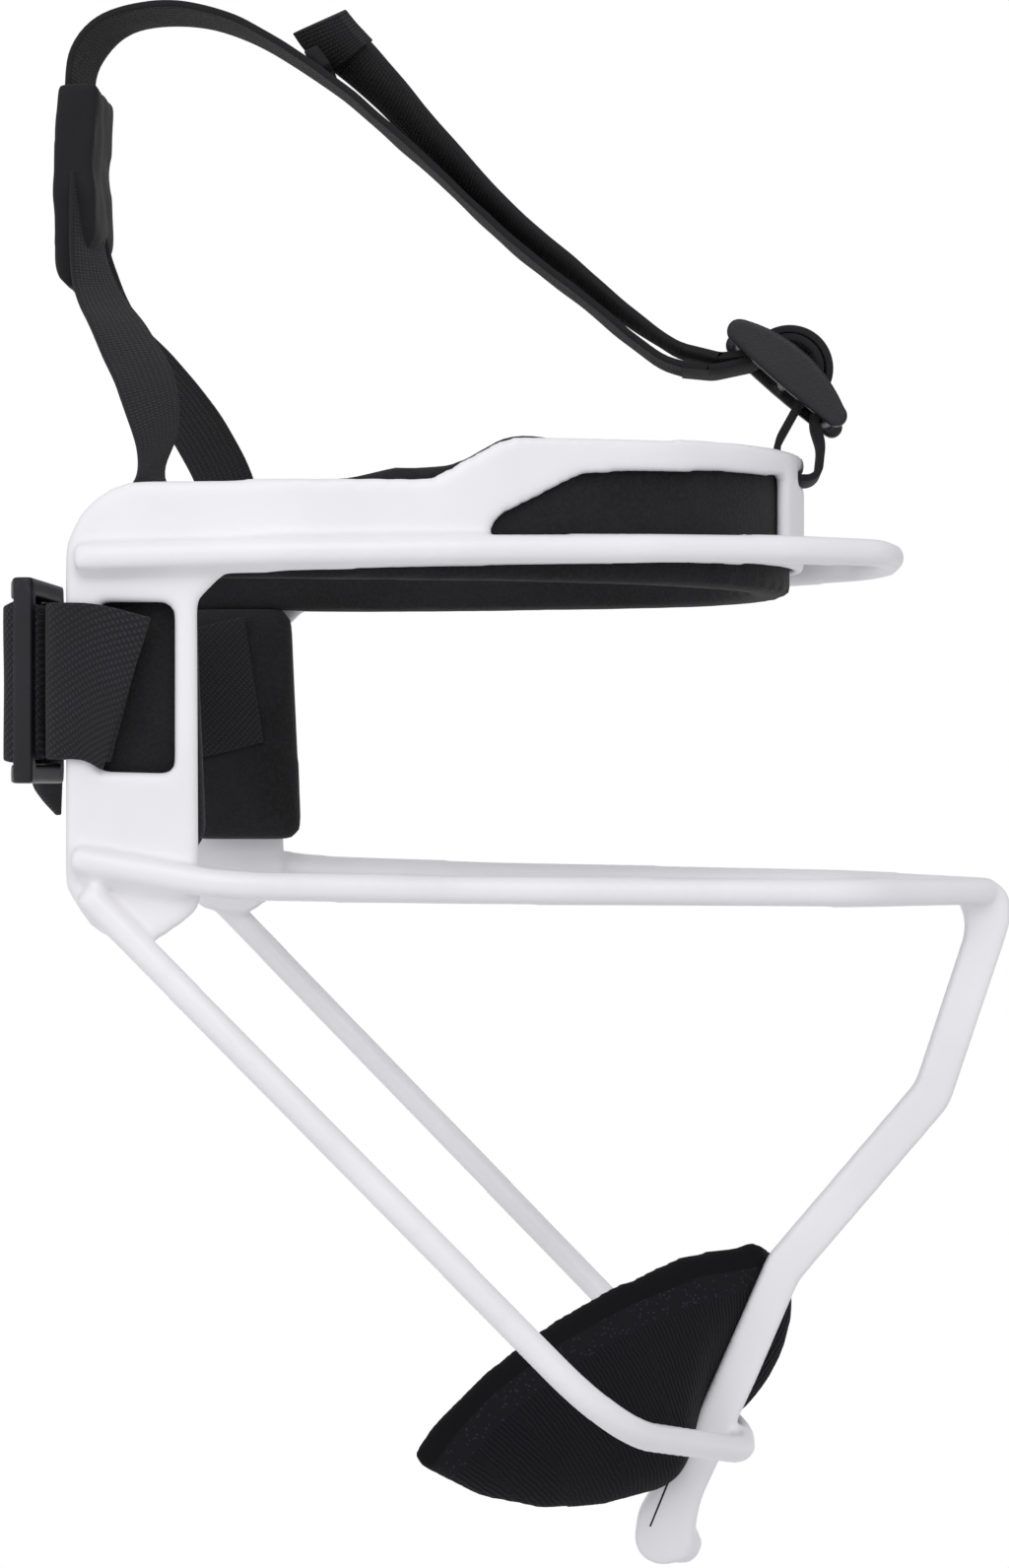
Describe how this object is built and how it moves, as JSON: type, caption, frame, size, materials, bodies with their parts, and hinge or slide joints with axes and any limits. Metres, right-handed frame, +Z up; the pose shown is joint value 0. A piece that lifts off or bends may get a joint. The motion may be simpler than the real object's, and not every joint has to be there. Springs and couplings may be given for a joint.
{
  "type": "softball fielder's face guard",
  "caption": "Wire and sheet-steel face guard for a softball fielder, white, with black brow, side and chin pads and an adjustable strap harness.",
  "frame": {"origin": "mid plane of the guard, on the line through the centres of the two strap windows in the side plates", "axes": "+X to the front of the face, +Y to the wearer's left, +Z up as worn"},
  "size_m": [0.2152, 0.1602, 0.3519],
  "materials": {
    "white": "thick white powder coat, semi-gloss, over steel",
    "pad": "matt black knit fabric over foam",
    "chin": "matt black moulded foam cup covered with knit fabric and a mesh strip",
    "elastic": "black twill-woven rear elastic",
    "webbing": "black woven webbing and elastic of the top harness",
    "plastic": "black moulded nylon, satin",
    "rivet": "white coated rivet"
  },
  "bodies": {
    "guard": {"bar_end_knob": "white", "brow_band": "white", "centre_bar": "white", "cheek_wire": "white", "chin_pad": "chin", "chin_pad_strap": "chin", "crown_sleeve": "webbing", "forehead_pad": "pad", "jaw_wire": "white", "left_cheek_weld": "white", "left_crown_elastic": "webbing", "left_jaw_weld": "white", "left_rivet": "rivet", "left_side_pad": "pad", "left_side_plate": "white", "left_strap_tab": "elastic", "left_visor_weld": "white", "rear_strap": "elastic", "right_cheek_weld": "white", "right_crown_elastic": "webbing", "right_jaw_weld": "white", "right_rivet": "rivet", "right_side_pad": "pad", "right_side_plate": "white", "right_strap_tab": "elastic", "right_visor_weld": "white", "strap_keeper": "webbing", "top_strap": "webbing", "top_strap_return": "webbing", "top_strap_tab": "webbing", "visor_wire": "white", "webbing_bight": "webbing"},
    "rear_slider": {"rear_slider": "plastic", "rear_strap_tail": "elastic"},
    "top_slider": {"top_slider": "plastic"}
  },
  "joints": [
    {"name": "rear_slide", "type": "slide", "parent": "guard", "child": "rear_slider", "axis": [0, 1, 0], "range_m": [0, 0.045]},
    {"name": "top_slide", "type": "slide", "parent": "guard", "child": "top_slider", "axis": [-0.7479, 0, 0.6639], "range_m": [0, 0.012], "deforming": ["webbing_bight"]}
  ]
}
